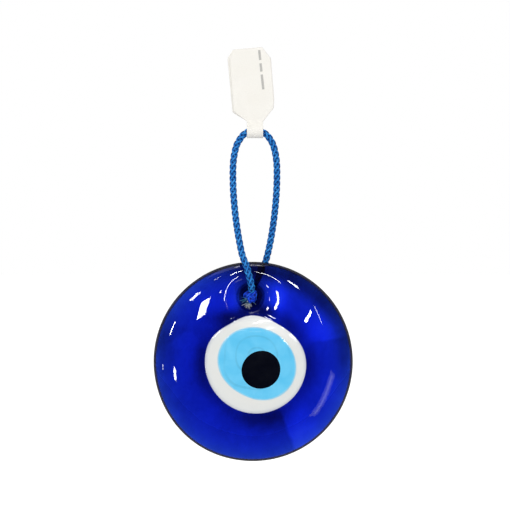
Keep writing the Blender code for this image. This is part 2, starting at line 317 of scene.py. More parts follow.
def radial(tree, centre, power=1.0):
    """Distance in metres from a centre line along Y."""
    coords = tree.nodes.new("ShaderNodeTexCoord")
    split = tree.nodes.new("ShaderNodeSeparateXYZ")
    tree.links.new(coords.outputs["Object"], split.inputs[0])
    dx = maths(tree, "SUBTRACT", split.outputs["X"], float(centre[0]) * MM)
    dz = maths(tree, "SUBTRACT", split.outputs["Z"], float(centre[1]) * MM)
    total = maths(tree, "ADD", maths(tree, "MULTIPLY", dx, dx), maths(tree, "MULTIPLY", dz, dz))
    return maths(tree, "SQRT", total)


def edge_of(tree):
    """0 at a gob's middle, 1 at its outline."""
    made = tree.nodes.new("ShaderNodeAttribute")
    made.attribute_name = "edge"
    return made.outputs["Fac"]


def white_glass():
    made, tree, shader = new_material("white_glass")
    place = object_coords(tree)
    cloud = noise_node(tree, place, 160.0, 3.0, 0.5, 0.4)
    wobble = maths(tree, "ADD", edge_of(tree), maths(tree, "MULTIPLY", maths(tree, "SUBTRACT", cloud.outputs["Fac"], 0.5), 0.04))
    edge = ramp(
        tree, wobble,
        [(0.80, (0.735, 0.745, 0.715)), (0.93, (0.715, 0.73, 0.71)), (0.975, (0.60, 0.62, 0.64)), (1.0, (0.42, 0.44, 0.56))],
    )
    milk_and_painted_glare = mix_colour(tree, maths(tree, "MULTIPLY", cloud.outputs["Fac"], 0.25), edge.outputs["Color"], (0.755, 0.755, 0.735))
    # painted highlight: a lighter patch over the upper right of the white
    painted_glare = maths(tree, "MULTIPLY", blob(tree, (5.5, -58.0), (9.0, 5.0)), 0.8)
    milk_and_painted_glare = mix_colour(tree, painted_glare, milk_and_painted_glare, (0.84, 0.85, 0.83))
    tree.links.new(milk_and_painted_glare, shader.inputs["Base Color"])
    shader.inputs["Roughness"].default_value = 0.09
    shader.inputs["IOR"].default_value = 1.5
    shader.inputs["Subsurface Weight"].default_value = 0.15
    shader.inputs["Subsurface Radius"].default_value = (0.0012, 0.0011, 0.0010)
    shader.inputs["Subsurface Scale"].default_value = 1.0
    wavy = noise_node(tree, place, 260.0, 2.0)
    tree.links.new(bump(tree, wavy.outputs["Fac"], 0.08, 0.0003), shader.inputs["Normal"])
    return made


def sky_glass():
    """Light blue with fine stirred lines and a milky seam against the white."""
    made, tree, shader = new_material("light_blue_glass")
    place = object_coords(tree)
    warp = noise_node(tree, place, 95.0, 0.0, 0.5, 0.0)
    r = radial(tree, (0.9, -67.2))
    lines = maths(tree, "ADD", maths(tree, "MULTIPLY", r, 1500.0), maths(tree, "MULTIPLY", warp.outputs["Fac"], 9.0))
    wave = maths(tree, "SINE", lines)
    streak = ramp(
        tree, maths(tree, "ADD", maths(tree, "MULTIPLY", wave, 0.5), 0.5),
        [(0.0, (1.0,) * 3), (0.93, (0.985,) * 3), (0.985, (0.84,) * 3), (1.0, (0.90,) * 3)],
    )
    cloud = noise_node(tree, place, 190.0, 3.0, 0.55, 0.5)
    base = ramp(tree, cloud.outputs["Fac"], [(0.30, (0.105, 0.525, 0.82)), (0.70, (0.165, 0.600, 0.88))])
    fade = noise_node(tree, place, 110.0, 1.0)
    strength = ramp(tree, fade.outputs["Fac"], [(0.40, (0.0,) * 3), (0.62, (1.0,) * 3)])
    lined = mix_colour(tree, strength.outputs["Color"], base.outputs["Color"],
                       mix_colour(tree, 1.0, base.outputs["Color"], streak.outputs["Color"], "MULTIPLY"))
    # a milky seam where it was pressed into the white
    haze = maths(tree, "ADD", edge_of(tree), maths(tree, "MULTIPLY", maths(tree, "SUBTRACT", cloud.outputs["Fac"], 0.5), 0.05))
    seam = mix_colour(tree, maths(tree, "MULTIPLY", band(tree, haze, 0.945, 1.0), 0.62), lined, (0.50, 0.68, 0.74))
    tree.links.new(seam, shader.inputs["Base Color"])
    shader.inputs["Roughness"].default_value = 0.09
    shader.inputs["IOR"].default_value = 1.5
    wavy = noise_node(tree, place, 300.0, 2.0)
    tree.links.new(bump(tree, wavy.outputs["Fac"], 0.06, 0.0003), shader.inputs["Normal"])
    return made


def black_glass():
    made, tree, shader = new_material("black_glass")
    place = object_coords(tree)
    cloud = noise_node(tree, place, 240.0, 3.0, 0.6)
    base = ramp(tree, cloud.outputs["Fac"], [(0.35, (0.0006, 0.0010, 0.0040)), (0.75, (0.0015, 0.0022, 0.0060))])
    tree.links.new(base.outputs["Color"], shader.inputs["Base Color"])
    shader.inputs["IOR"].default_value = 1.36
    gloss = ramp(tree, cloud.outputs["Fac"], [(0.3, (0.10,) * 3), (0.8, (0.20,) * 3)])
    tree.links.new(gloss.outputs["Color"], shader.inputs["Roughness"])
    tree.links.new(bump(tree, cloud.outputs["Fac"], 0.10, 0.0002), shader.inputs["Normal"])
    return made


def braid_yarn(name, stops):
    """Shiny synthetic yarn: fine filaments along each strand, painted darker in the grooves and lighter where each
    strand faces out.
    """
    made, tree, shader = new_material(name)
    uv = tree.nodes.new("ShaderNodeUVMap")
    uv.uv_map = "UVMap"
    stretch = tree.nodes.new("ShaderNodeMapping")
    stretch.inputs["Scale"].default_value = (260.0, 22.0, 1.0)
    tree.links.new(uv.outputs["UV"], stretch.inputs["Vector"])
    filaments = noise_node(tree, stretch.outputs["Vector"], 1.0, 4.0, 0.6, 0.2)
    patch = noise_node(tree, object_coords(tree), 700.0, 3.0, 0.6)
    split = tree.nodes.new("ShaderNodeSeparateXYZ")
    tree.links.new(uv.outputs["UV"], split.inputs[0])
    # v runs 0..1 round the strand's section: 0.25 faces out, 0.75 faces the core.
    # painted shade and light: each strand darker where it faces the core, lighter where it faces out
    out = maths(tree, "SINE", maths(tree, "MULTIPLY", split.outputs["Y"], 2 * math.pi))
    tone = maths(tree, "ADD", maths(tree, "MULTIPLY", out, 0.50),
                 maths(tree, "MULTIPLY", filaments.outputs["Fac"], 0.42))
    tone = maths(tree, "ADD", tone, maths(tree, "MULTIPLY", patch.outputs["Fac"], 0.32))
    colour = ramp(tree, tone, stops)
    tree.links.new(colour.outputs["Color"], shader.inputs["Base Color"])
    rough = ramp(tree, filaments.outputs["Fac"], [(0.3, (0.36,) * 3), (0.8, (0.58,) * 3)])
    tree.links.new(rough.outputs["Color"], shader.inputs["Roughness"])
    shader.inputs["Specular IOR Level"].default_value = 0.22
    shader.inputs["Sheen Weight"].default_value = 0.04
    shader.inputs["Sheen Roughness"].default_value = 0.4
    shader.inputs["Sheen Tint"].default_value = (0.35, 0.60, 1.0, 1.0)
    tree.links.new(bump(tree, filaments.outputs["Fac"], 0.55, 0.00006), shader.inputs["Normal"])
    return made


def label_paper():
    made, tree, shader = new_material("label_paper")
    place = object_coords(tree)
    pulp = noise_node(tree, place, 2600.0, 5.0, 0.65)
    soft = noise_node(tree, place, 140.0, 2.0)
    base = ramp(tree, soft.outputs["Fac"], [(0.3, (0.830, 0.808, 0.745)), (0.7, (0.850, 0.830, 0.775))])
    speck = ramp(tree, pulp.outputs["Fac"], [(0.30, (0.965,) * 3), (0.60, (1.0,) * 3)])
    colour = mix_colour(tree, 1.0, base.outputs["Color"], speck.outputs["Color"], "MULTIPLY")
    # three plain grey bars where a line of print would run down the front leaf
    coords = tree.nodes.new("ShaderNodeTexCoord")
    split = tree.nodes.new("ShaderNodeSeparateXYZ")
    tree.links.new(coords.outputs["Object"], split.inputs[0])
    lean = math.radians(6.0)
    x = maths(tree, "SUBTRACT", maths(tree, "MULTIPLY", split.outputs["X"], 1000.0), 1.25)
    z = maths(tree, "SUBTRACT", 25.25, maths(tree, "MULTIPLY", split.outputs["Z"], 1000.0))
    down = maths(tree, "ADD", maths(tree, "MULTIPLY", z, math.cos(lean)), maths(tree, "MULTIPLY", x, math.sin(lean)))
    off = maths(tree, "ABSOLUTE", maths(tree, "SUBTRACT", maths(tree, "MULTIPLY", x, math.cos(lean)), maths(tree, "MULTIPLY", z, math.sin(lean))))
    ink = None
    for start, end in ((0.1, 3.1), (4.1, 6.6), (7.5, 12.0)):
        inside = maths(tree, "MULTIPLY", band(tree, down, start - 0.1, start + 0.1), band(tree, down, end + 0.1, end - 0.1))
        ink = inside if ink is None else maths(tree, "ADD", ink, inside)
    ink = maths(tree, "MULTIPLY", ink, band(tree, off, 0.42, 0.30))
    leaf = tree.nodes.new("ShaderNodeAttribute")
    leaf.attribute_name = "front_leaf"
    ink = maths(tree, "MULTIPLY", ink, leaf.outputs["Fac"])
    worn = maths(tree, "ADD", maths(tree, "MULTIPLY", pulp.outputs["Fac"], 0.5), 0.25)
    colour = mix_colour(tree, maths(tree, "MULTIPLY", ink, worn), colour, (0.10, 0.10, 0.11))
    tree.links.new(colour, shader.inputs["Base Color"])
    shader.inputs["Roughness"].default_value = 0.78
    shader.inputs["Specular IOR Level"].default_value = 0.3
    tree.links.new(bump(tree, pulp.outputs["Fac"], 0.25, 0.00005), shader.inputs["Normal"])
    return made


MAT_COBALT, MAT_WHITE, MAT_SKY, MAT_BLACK = cobalt_glass(), white_glass(), sky_glass(), black_glass()
MAT_CORD = braid_yarn("braided_cord", [
    (0.32, (0.0003, 0.010, 0.070)), (0.62, (0.0008, 0.046, 0.24)),
    (0.82, (0.0025, 0.160, 0.54)), (1.00, (0.075, 0.46, 0.92)),
])
# the knot sits down in the hole: a darker, deeper blue copy of the cord yarn, its painted shade
MAT_KNOT_PAINTED_SHADE = braid_yarn("knotted_cord_painted_shade", [
    (0.32, (0.0003, 0.004, 0.060)), (0.62, (0.0006, 0.016, 0.30)),
    (0.84, (0.0015, 0.050, 0.72)), (1.00, (0.050, 0.30, 0.95)),
])
MAT_PAPER = label_paper()


# ----------------------------------------------------------------- the cord
def crown_point(degrees):
    a = math.radians(degrees)
    return np.array([CROWN_R * math.sin(a), 0.0, CROWN_Z + CROWN_R * math.cos(a)])


STRAND = (
    (5.40, -3.20), (5.90, -4.80), (6.33, -6.90), (6.60, -9.40), (6.66, -12.9),
    (6.52, -17.7), (6.14, -22.5), (5.56, -27.4), (4.78, -32.2), (3.72, -37.1),
)
FRONT_RUN = ((-2.60, -4.30, -39.9), (-1.85, -4.48, -42.6), (-1.30, -4.40, -44.7), (-1.02, -3.86, -46.3))
BACK_RUN = (
    (2.85, 4.70, -39.9), (1.90, 5.00, -42.3), (0.80, 5.10, -44.4), (-0.25, 4.92, -46.3),
    (-0.95, 4.20, -47.9), (-1.26, 2.95, -48.95),
)


def knot_end(towards):
    away = towards - KNOT
    away /= np.linalg.norm(away)
    reach = 1 / math.sqrt(((away / KNOT_RADII) ** 2).sum())
    return KNOT + away * (reach + 0.35)


def cord_keys():
    side = lambda sx, sy: [
        np.array([sx * h, sy * 4.28 * max(0.0, (-2.0 - z) / 37.5), z]) for h, z in STRAND
    ]
    front = [np.array(p) for p in FRONT_RUN]
    back = [np.array(p) for p in BACK_RUN]
    crown = [crown_point(a) for a in range(-60, 61, 12)]
    return (
        [knot_end(front[-1])] + front[::-1] + side(-1, -1)[::-1] + crown + side(1, 1) + back
        + [knot_end(back[-1])]
    )


def smooth_curve(keys, spacing):
    """Evenly spaced points on the centripetal Catmull-Rom curve through keys."""
    keys = [2 * keys[0] - keys[1]] + list(keys) + [2 * keys[-1] - keys[-2]]
    fine = []
    for p0, p1, p2, p3 in zip(keys, keys[1:], keys[2:], keys[3:]):
        t1 = np.linalg.norm(p1 - p0) ** 0.5
        t2 = t1 + np.linalg.norm(p2 - p1) ** 0.5
        t3 = t2 + np.linalg.norm(p3 - p2) ** 0.5
        for k in range(24):
            t = t1 + (t2 - t1) * k / 24
            a1 = p0 * ((t1 - t) / t1) + p1 * (t / t1)
            a2 = p1 * ((t2 - t) / (t2 - t1)) + p2 * ((t - t1) / (t2 - t1))
            a3 = p2 * ((t3 - t) / (t3 - t2)) + p3 * ((t - t2) / (t3 - t2))
            b1 = a1 * ((t2 - t) / t2) + a2 * (t / t2)
            b2 = a2 * ((t3 - t) / (t3 - t1)) + a3 * ((t - t1) / (t3 - t1))
            fine.append(b1 * ((t2 - t) / (t2 - t1)) + b2 * ((t - t1) / (t2 - t1)))
    fine.append(keys[-2])
    fine = np.array(fine)
    lengths = np.concatenate([[0], np.cumsum(np.linalg.norm(np.diff(fine, axis=0), axis=1))])
    count = max(4, int(round(lengths[-1] / spacing)) + 1)
    want = np.linspace(0, lengths[-1], count)
    return np.stack([np.interp(want, lengths, fine[:, i]) for i in range(3)], 1), lengths[-1]


def frames(path):
    """Tangents and a pair of normals carried along the path without twist."""
    tangent = np.gradient(path, axis=0)
    tangent /= np.linalg.norm(tangent, axis=1)[:, None]
    normal = np.empty_like(path)
    start = np.array([0.0, 1.0, 0.0])
    start -= tangent[0] * (start @ tangent[0])
    normal[0] = start / np.linalg.norm(start)
    for i in range(1, len(path)):
        n = normal[i - 1] - tangent[i] * (normal[i - 1] @ tangent[i])
        normal[i] = n / np.linalg.norm(n)
    return tangent, normal, np.cross(tangent, normal)


def braid(name, path, length, diameter, pitch, sides=10, loose=0.0):
    """Eight yarns braided over two, under two, round the path."""
    tangent, normal, binormal = frames(path)
    s = np.linspace(0, length, len(path))
    middle, sway, thick, wide = 0.362 * diameter, 0.070 * diameter, 0.125 * diameter, 0.212 * diameter
    verts, faces, uvs, base = [], [], [], 0
    around = 2 * np.pi * np.arange(sides) / sides
    for way in (1, -1):
        for j in range(4):
            phase = 4 * np.pi * s / pitch
            if way > 0:
                lift = np.cos(phase + np.pi * j - np.pi / 4)
            else:
                lift = -np.cos(np.pi * j - phase - np.pi / 4)
            lift = np.clip(1.35 * lift, -1, 1)
            jitter = loose * np.sin(s * 1.7 + 2.1 * j + way)
            theta = way * 2 * np.pi * s / pitch + 2 * np.pi * j / 4 + jitter
            r = middle + sway * lift
            out = np.cos(theta)[:, None] * normal + np.sin(theta)[:, None] * binormal
            centre = path + out * r[:, None]
            along = np.gradient(centre, axis=0)
            along /= np.linalg.norm(along, axis=1)[:, None]
            across = np.cross(along, out)
            across /= np.linalg.norm(across, axis=1)[:, None]
            ends = np.clip(np.minimum(s, length - s) / 0.25, 0.35, 1.0)
            ring = (
                centre[:, None, :]
                + across[:, None, :] * (wide * np.cos(around))[None, :, None] * ends[:, None, None]
                + out[:, None, :] * (thick * np.sin(around))[None, :, None] * ends[:, None, None]
            )
            n = len(path)
            verts.append(ring.reshape(-1, 3))
            quads = grid_faces(n, sides)[:, ::-1]
            faces += [tuple(q + base) for q in quads]
            v0 = np.arange(sides) / sides
            for i in range(n - 1):
                for k in range(sides):
                    a, b = k / sides, (k + 1) / sides
                    u0, u1 = s[i] / 100 + j * 0.37 + way * 0.19, s[i + 1] / 100 + j * 0.37 + way * 0.19
                    uvs.append(((u1, a), (u1, b), (u0, b), (u0, a)))
            # closed, slightly rounded yarn ends
            faces.append(tuple(base + k for k in range(sides)))
            faces.append(tuple(base + (n - 1) * sides + k for k in range(sides))[::-1])
            uvs.append(tuple((s[0] / 100, 0.5) for _ in range(sides)))
            uvs.append(tuple((s[-1] / 100, 0.5) for _ in range(sides)))
            base += n * sides
    # the core yarn that fills the braid
    core = (
        path[:, None, :]
        + normal[:, None, :] * (0.30 * diameter * np.cos(around))[None, :, None]
        + binormal[:, None, :] * (0.30 * diameter * np.sin(around))[None, :, None]
    )
    n = len(path)
    verts.append(core.reshape(-1, 3))
    faces += [tuple(q + base) for q in grid_faces(n, sides)[:, ::-1]]
    faces.append(tuple(base + k for k in range(sides)))
    faces.append(tuple(base + (n - 1) * sides + k for k in range(sides))[::-1])
    uvs += [((0.0, 0.75),) * 4] * ((n - 1) * sides) + [((0.0, 0.75),) * sides] * 2
    flat_uv = [corner for face in uvs for corner in face]
    made = mesh_object(name, np.concatenate(verts), faces, True, flat_uv)
    return made


path, cord_length = smooth_curve(cord_keys(), 0.17)
cord = braid("braided_cord", path, cord_length, CORD_D, 7.1)
cord.data.materials.append(MAT_CORD)
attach(cord, "cord_loop")
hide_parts("hanging_cord")

# The knot: the same braid pulled into three tight lobes.
turns = np.linspace(0.0, 2 * np.pi, 420)
lobes = np.stack(
    [
        0.46 * (np.sin(turns) + 2 * np.sin(2 * turns)),
        -0.78 * np.sin(3 * turns),
        0.43 * (np.cos(turns) - 2 * np.cos(2 * turns)),
    ],
    1,
)
spin = math.radians(-25)
lobes = lobes @ np.array(
    [[math.cos(spin), 0, -math.sin(spin)], [0, 1, 0], [math.sin(spin), 0, math.cos(spin)]]
) + KNOT
lobe_length = float(np.linalg.norm(np.diff(lobes, axis=0), axis=1).sum())
knot = braid("cord_knot_tied", lobes, lobe_length, 1.86, lobe_length / round(lobe_length / 5.6), 10)
knot.data.materials.append(MAT_KNOT_PAINTED_SHADE)
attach(knot, "cord_loop")
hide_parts("cord_knot")


def tail_fibres():
    """The opened-out cord end, bleached paler than the braid, and whitened low down with a painted glint."""
    made, tree, shader = new_material("frayed_fibres")
    patch = noise_node(tree, object_coords(tree), 1500.0, 3.0, 0.6)
    colour = ramp(tree, patch.outputs["Fac"], [(0.36, (0.002, 0.035, 0.13)), (0.52, (0.012, 0.14, 0.27)), (0.70, (0.22, 0.38, 0.40))])
    coords = tree.nodes.new("ShaderNodeTexCoord")
    split = tree.nodes.new("ShaderNodeSeparateXYZ")
    tree.links.new(coords.outputs["Object"], split.inputs[0])
    # painted highlight: the lowest fibres are whitened
    painted_lip_glint = band(tree, maths(tree, "MULTIPLY", split.outputs["Z"], 1000.0), -51.0, -52.1)
    colour = mix_colour(tree, maths(tree, "MULTIPLY", painted_lip_glint, 0.85), colour.outputs["Color"], (0.80, 0.82, 0.76))
    tree.links.new(colour, shader.inputs["Base Color"])
    rough = ramp(tree, patch.outputs["Fac"], [(0.3, (0.40,) * 3), (0.8, (0.62,) * 3)])
    tree.links.new(rough.outputs["Color"], shader.inputs["Roughness"])
    return made


def frayed_ends():
    """The short cut tails below the knot: loose curved filaments."""
    rng = np.random.default_rng(7)
    verts, faces, uvs, base, sides, steps = [], [], [], 0, 5, 12
    for i in range(44):
        low = i % 2
        root = KNOT + (np.array([-0.45, -0.30, -1.55]) if low else np.array([-1.15, -0.55, -0.85]))
        spread = rng.normal(0, 1, 3)
        aim = np.array([-0.30, -0.30, -0.95] if low else [-1.0, -0.38, -0.55])
        aim = aim + spread * (np.array([0.95, 0.15, 0.10]) if low else np.array([0.30, 0.26, 0.42]))
        aim /= np.linalg.norm(aim)
        reach = rng.uniform(1.5, 2.4) if low else rng.uniform(1.2, 2.1)
        curl = rng.normal(0, 0.30, 3)
        start = root + rng.normal(0, 0.26, 3)
        t = np.linspace(0, 1, steps)
        line = start + np.outer(t * reach, aim) + np.outer(t**2 * reach * 0.5, curl)
        # stay inside the glass mouth
        off = line[:, [0, 2]] - HOLE
        far = np.linalg.norm(off, axis=1)
        scale = np.minimum(1.0, 3.75 / np.maximum(far, 1e-6))
        line[:, [0, 2]] = HOLE + off * scale[:, None]
        line[:, 1] = np.minimum(line[:, 1], -1.15)
        tangent, normal, binormal = frames(line)
        radius = 0.060 * (1 - 0.45 * t)
        around = 2 * np.pi * np.arange(sides) / sides
        ring = line[:, None, :] + radius[:, None, None] * (
            normal[:, None, :] * np.cos(around)[None, :, None]
            + binormal[:, None, :] * np.sin(around)[None, :, None]
        )
        verts.append(ring.reshape(-1, 3))
        faces += [tuple(q + base) for q in grid_faces(steps, sides)[:, ::-1]]
        for a in range(steps - 1):
            for k in range(sides):
                u0, u1 = a / 60 + i * 0.13, (a + 1) / 60 + i * 0.13
                uvs += [(u1, 0.2), (u1, 0.3), (u0, 0.3), (u0, 0.2)]
        faces.append(tuple(base + k for k in range(sides)))
        faces.append(tuple(base + (steps - 1) * sides + k for k in range(sides))[::-1])
        uvs += [(0.0, 0.25)] * (2 * sides)
        base += steps * sides
    return mesh_object("frayed_cord_ends", np.concatenate(verts), faces, True, uvs)


tails = frayed_ends()
tails.data.materials.append(tail_fibres())
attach(tails, "cord_loop")


# ------------------------------------------------------------- the glass disc
def front_dome(r):
    """A low quartic dome that rolls over into the rim."""
    return DISC_HALF * np.sqrt(np.clip(1 - (r / DISC_R) ** 4, 0, 1))


def back_plate(r):
    """The back: flat on its pad, then rounding up to the rim."""
    t = np.clip(r - PAD_R, 0, None) / (DISC_R - PAD_R)
    return DISC_HALF * np.sqrt(np.clip(1 - t**2.5, 0, 1))


def soft_min(a, b, p=14.0):
    a, b = np.maximum(a, 1e-6), np.maximum(b, 1e-6)
    return (a ** -p + b ** -p) ** (-1 / p)


def disc_radius(a):
    """The outline isn't quite round: it bulges a little at the lower left."""
    return DISC_R + 0.13 + 0.20 * np.exp(-((np.degrees(a) % 360 - 234) / 24.0) ** 2)


def hollow(a, middle, width):
    """1 at the middle angle, falling to nothing over the width, in degrees."""
    off = (np.degrees(a) - middle + 180) % 360 - 180
    return np.exp(-((off / width) ** 2))


def white_outline(a):
    return WHITE_R + (
        0.80 * np.sin(a) - 2.5 * hollow(a, 63, 42) - 1.45 * hollow(a, 122, 22)
        - 0.12 * np.cos(2 * a)
    )


def iris_outline(a):
    return IRIS_R + 0.80 * np.cos(2 * (a - math.radians(152))) - 0.12 * np.cos(3 * a)


def dimple(x, z):
    """How much of the dome's height is left in the pressed dimple round the
    hole: 0 at the mouth, 1 outside. Its middle drifts right as it widens."""
    dx, dz = x - HOLE[0], z - HOLE[1]
    rho = np.hypot(dx, dz)
    for _ in range(24):
        grown = 1 - np.exp(-((np.maximum(rho - HOLE_R, 0) / 4.5) ** 2))
        wider = np.where(dx > 0, dx / (1 + 0.28 * grown), dx)
        rho = 0.5 * rho + 0.5 * np.hypot(wider - DIMPLE_SHIFT * grown, dz)
    t = np.clip((FLARE_R - rho) / (FLARE_R - HOLE_R), 0, 1)
    return np.sqrt(np.clip(1 - t**2, 0, 1))


def front_height(x, z, dome):
    return MOUTH_Y + (dome - MOUTH_Y) * dimple(x, z)


def glass_disc():
    columns = 300
    phi = 2 * np.pi * np.arange(columns) / columns
    direction = np.stack([np.cos(phi), np.sin(phi)], 1)
    off = HOLE - DISC
    reach = np.full(columns, DISC_R)
    for _ in range(8):
        edge = off + direction * reach[:, None]
        target = disc_radius(np.arctan2(edge[:, 1], edge[:, 0]))
        along = (off * direction).sum(1)
        reach = -along + np.sqrt(along**2 - (off @ off) + target**2)
    rings = []
    # front, from the rim in to the mouth
    ease = (1 - np.cos(np.pi * np.linspace(0, 1, 120))) / 2
    for g in ease[::-1]:
        rho = HOLE_R + (reach - HOLE_R) * g
        place = off + direction * rho[:, None]
        r = np.linalg.norm(place, axis=1)
        r = r * DISC_R / disc_radius(np.arctan2(place[:, 1], place[:, 0]))
        r = np.minimum(r, DISC_R)
        dome = front_dome(r)
        x, z = place[:, 0], place[:, 1]
        fade = np.clip((DISC_R - r) / 3.0, 0, 1) * np.clip((rho - 11.0) / 7.0, 0, 1)
        eye = np.hypot(x + DISC[0] - WHITE_C[0], z + DISC[1] - WHITE_C[1])
        fade = fade * np.clip((eye - 15.6) / 3.0, 0, 1)
        dome = dome + fade * (0.030 * ripple(x, z, 3.1, 8.5) + 0.006 * ripple(x, z, 8.4, 3.4))
        ex, ez = x + DISC[0] - WHITE_C[0], z + DISC[1] - WHITE_C[1]
        beyond = np.hypot(ex, ez) - white_outline(np.arctan2(ez, ex))
        seat = np.clip(beyond / 1.3, 0, 1)
        seat = seat * seat * (3 - 2 * seat)
        dome = (WHITE_LEVEL - 0.09) * (1 - seat) + dome * seat
        depth = front_height(x + DISC[0], z + DISC[1], dome)
        rings.append(np.stack([place[:, 0] + DISC[0], -depth, place[:, 1] + DISC[1]], 1))
    # the seat for the knot and the throat
    for k in range(1, 12):
        t = k / 12
        eased = t * t * (3 - 2 * t)
        rho = HOLE_R + (THROAT_R - HOLE_R) * eased
        y = -MOUTH_Y + (MOUTH_Y + THROAT_Y) * t
        place = HOLE + direction * rho
        rings.append(np.stack([place[:, 0], np.full(columns, y), place[:, 1]], 1))
    # back, from the throat out to the rim
    ease = (1 - np.cos(np.pi * np.linspace(0, 1, 100))) / 2
    for g in ease:
        rho = THROAT_R + (reach - THROAT_R) * g
        place = off + direction * rho[:, None]
        r = np.linalg.norm(place, axis=1)
        r = np.minimum(r * DISC_R / disc_radius(np.arctan2(place[:, 1], place[:, 0])), DISC_R)
        plate = back_plate(r)
        x, z = place[:, 0], place[:, 1]
        fade = np.clip((DISC_R - r) / 3.0, 0, 1) * np.clip((rho - THROAT_R) / 2.0, 0, 1)
        plate = plate + fade * (0.05 * ripple(x, z, 21.0, 9.0) - 0.05)
        t = np.clip((LIP_R - rho) / (LIP_R - THROAT_R), 0, 1)
        lip = THROAT_Y + (DISC_HALF - THROAT_Y) * np.sqrt(np.clip(1 - t**2, 0, 1))
        lip = np.where(rho >= LIP_R, 9.0, lip)
        depth = soft_min(plate, lip)
        if g < 1.0:
            rings.append(np.stack([place[:, 0] + DISC[0], depth, place[:, 1] + DISC[1]], 1))
    # the rim ring is shared: the front's first ring lies on it
    rings[0][:, 1] = 0.0
    verts = np.concatenate(rings)
    faces = grid_faces(len(rings), columns, wrap_rows=True)
    return mesh_object("pressed_glass_disc", verts, faces)


disc = glass_disc()
disc.data.materials.append(MAT_COBALT)
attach(disc, "disc")
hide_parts("glass_disc")


def pupil_outline(a):
    return PUPIL_R + 0.06 * np.cos(2 * a)


def gob(name, centre, outline, level, dome, depth, wobble, seed, columns=180):
    """A pressed gob: a low dome in front, a deeper bowl inside the glass behind."""
    phi = 2 * np.pi * np.arange(columns) / columns
    edge = outline(phi) + wobble * np.array(
        [noise.noise(Vector((1.6 * math.cos(a), 1.6 * math.sin(a), seed))) for a in phi]
    )
    verts, rows = [], []
    for k in range(1, 46):                       # front, middle to edge
        b = (math.pi / 2) * k / 45
        rows.append((math.sin(b), -(level + dome * math.cos(b) ** 1.0)))
    for k in range(1, 28):                       # back, edge to middle
        b = (math.pi / 2) * k / 28
        rows.append((math.cos(b), -(level - depth * math.sin(b))))
    for f, y in rows:
        verts.append(
            np.stack([centre[0] + edge * f * np.cos(phi), np.full(columns, y), centre[1] + edge * f * np.sin(phi)], 1)
        )
    verts = np.concatenate(verts + [
        np.array([[centre[0], -(level + dome), centre[1]], [centre[0], -(level - depth), centre[1]]])
    ])
    # it sags into the dimple with the glass under it
    left = dimple(verts[:, 0], verts[:, 2])
    verts[:, 1] += (WHITE_LEVEL - 0.1 - MOUTH_Y) * (1 - left)
    quads = grid_faces(len(rows), columns)
    faces = [tuple(q) for q in quads]
    first, last, n = len(verts) - 2, len(verts) - 1, columns
    for k in range(n):
        faces.append((first, (k + 1) % n, k))
        end = (len(rows) - 1) * n
        faces.append((last, end + k, end + (k + 1) % n))
    made = mesh_object(name, verts, faces)
    reach = np.concatenate([np.repeat([f for f, _ in rows], columns), [0.0, 0.0]])
    made.data.attributes.new("edge", "FLOAT", "POINT").data.foreach_set("value", reach.astype(np.float32))
    return made


EYE = (
    ("eye_white_glass", "eye_white", WHITE_C, white_outline, WHITE_LEVEL, 0.38, 3.1, 0.05, 1.7, MAT_WHITE, "white_glass"),
    ("iris_glass", "iris", IRIS_C, iris_outline, 3.86, 0.24, 1.9, 0.07, 5.2, MAT_SKY, "light_blue_glass"),
    ("pupil_glass", "pupil", PUPIL_C, pupil_outline, 4.03, 0.13, 1.1, 0.03, 9.9, MAT_BLACK, "black_glass"),
)
for name, cad, centre, outline, level, dome, depth, wobble, seed, finish, slot in EYE:
    piece = gob(name, centre, outline, level, dome, depth, wobble, seed)
    piece.data.materials.append(finish)
    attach(piece, "disc")
    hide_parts(cad)


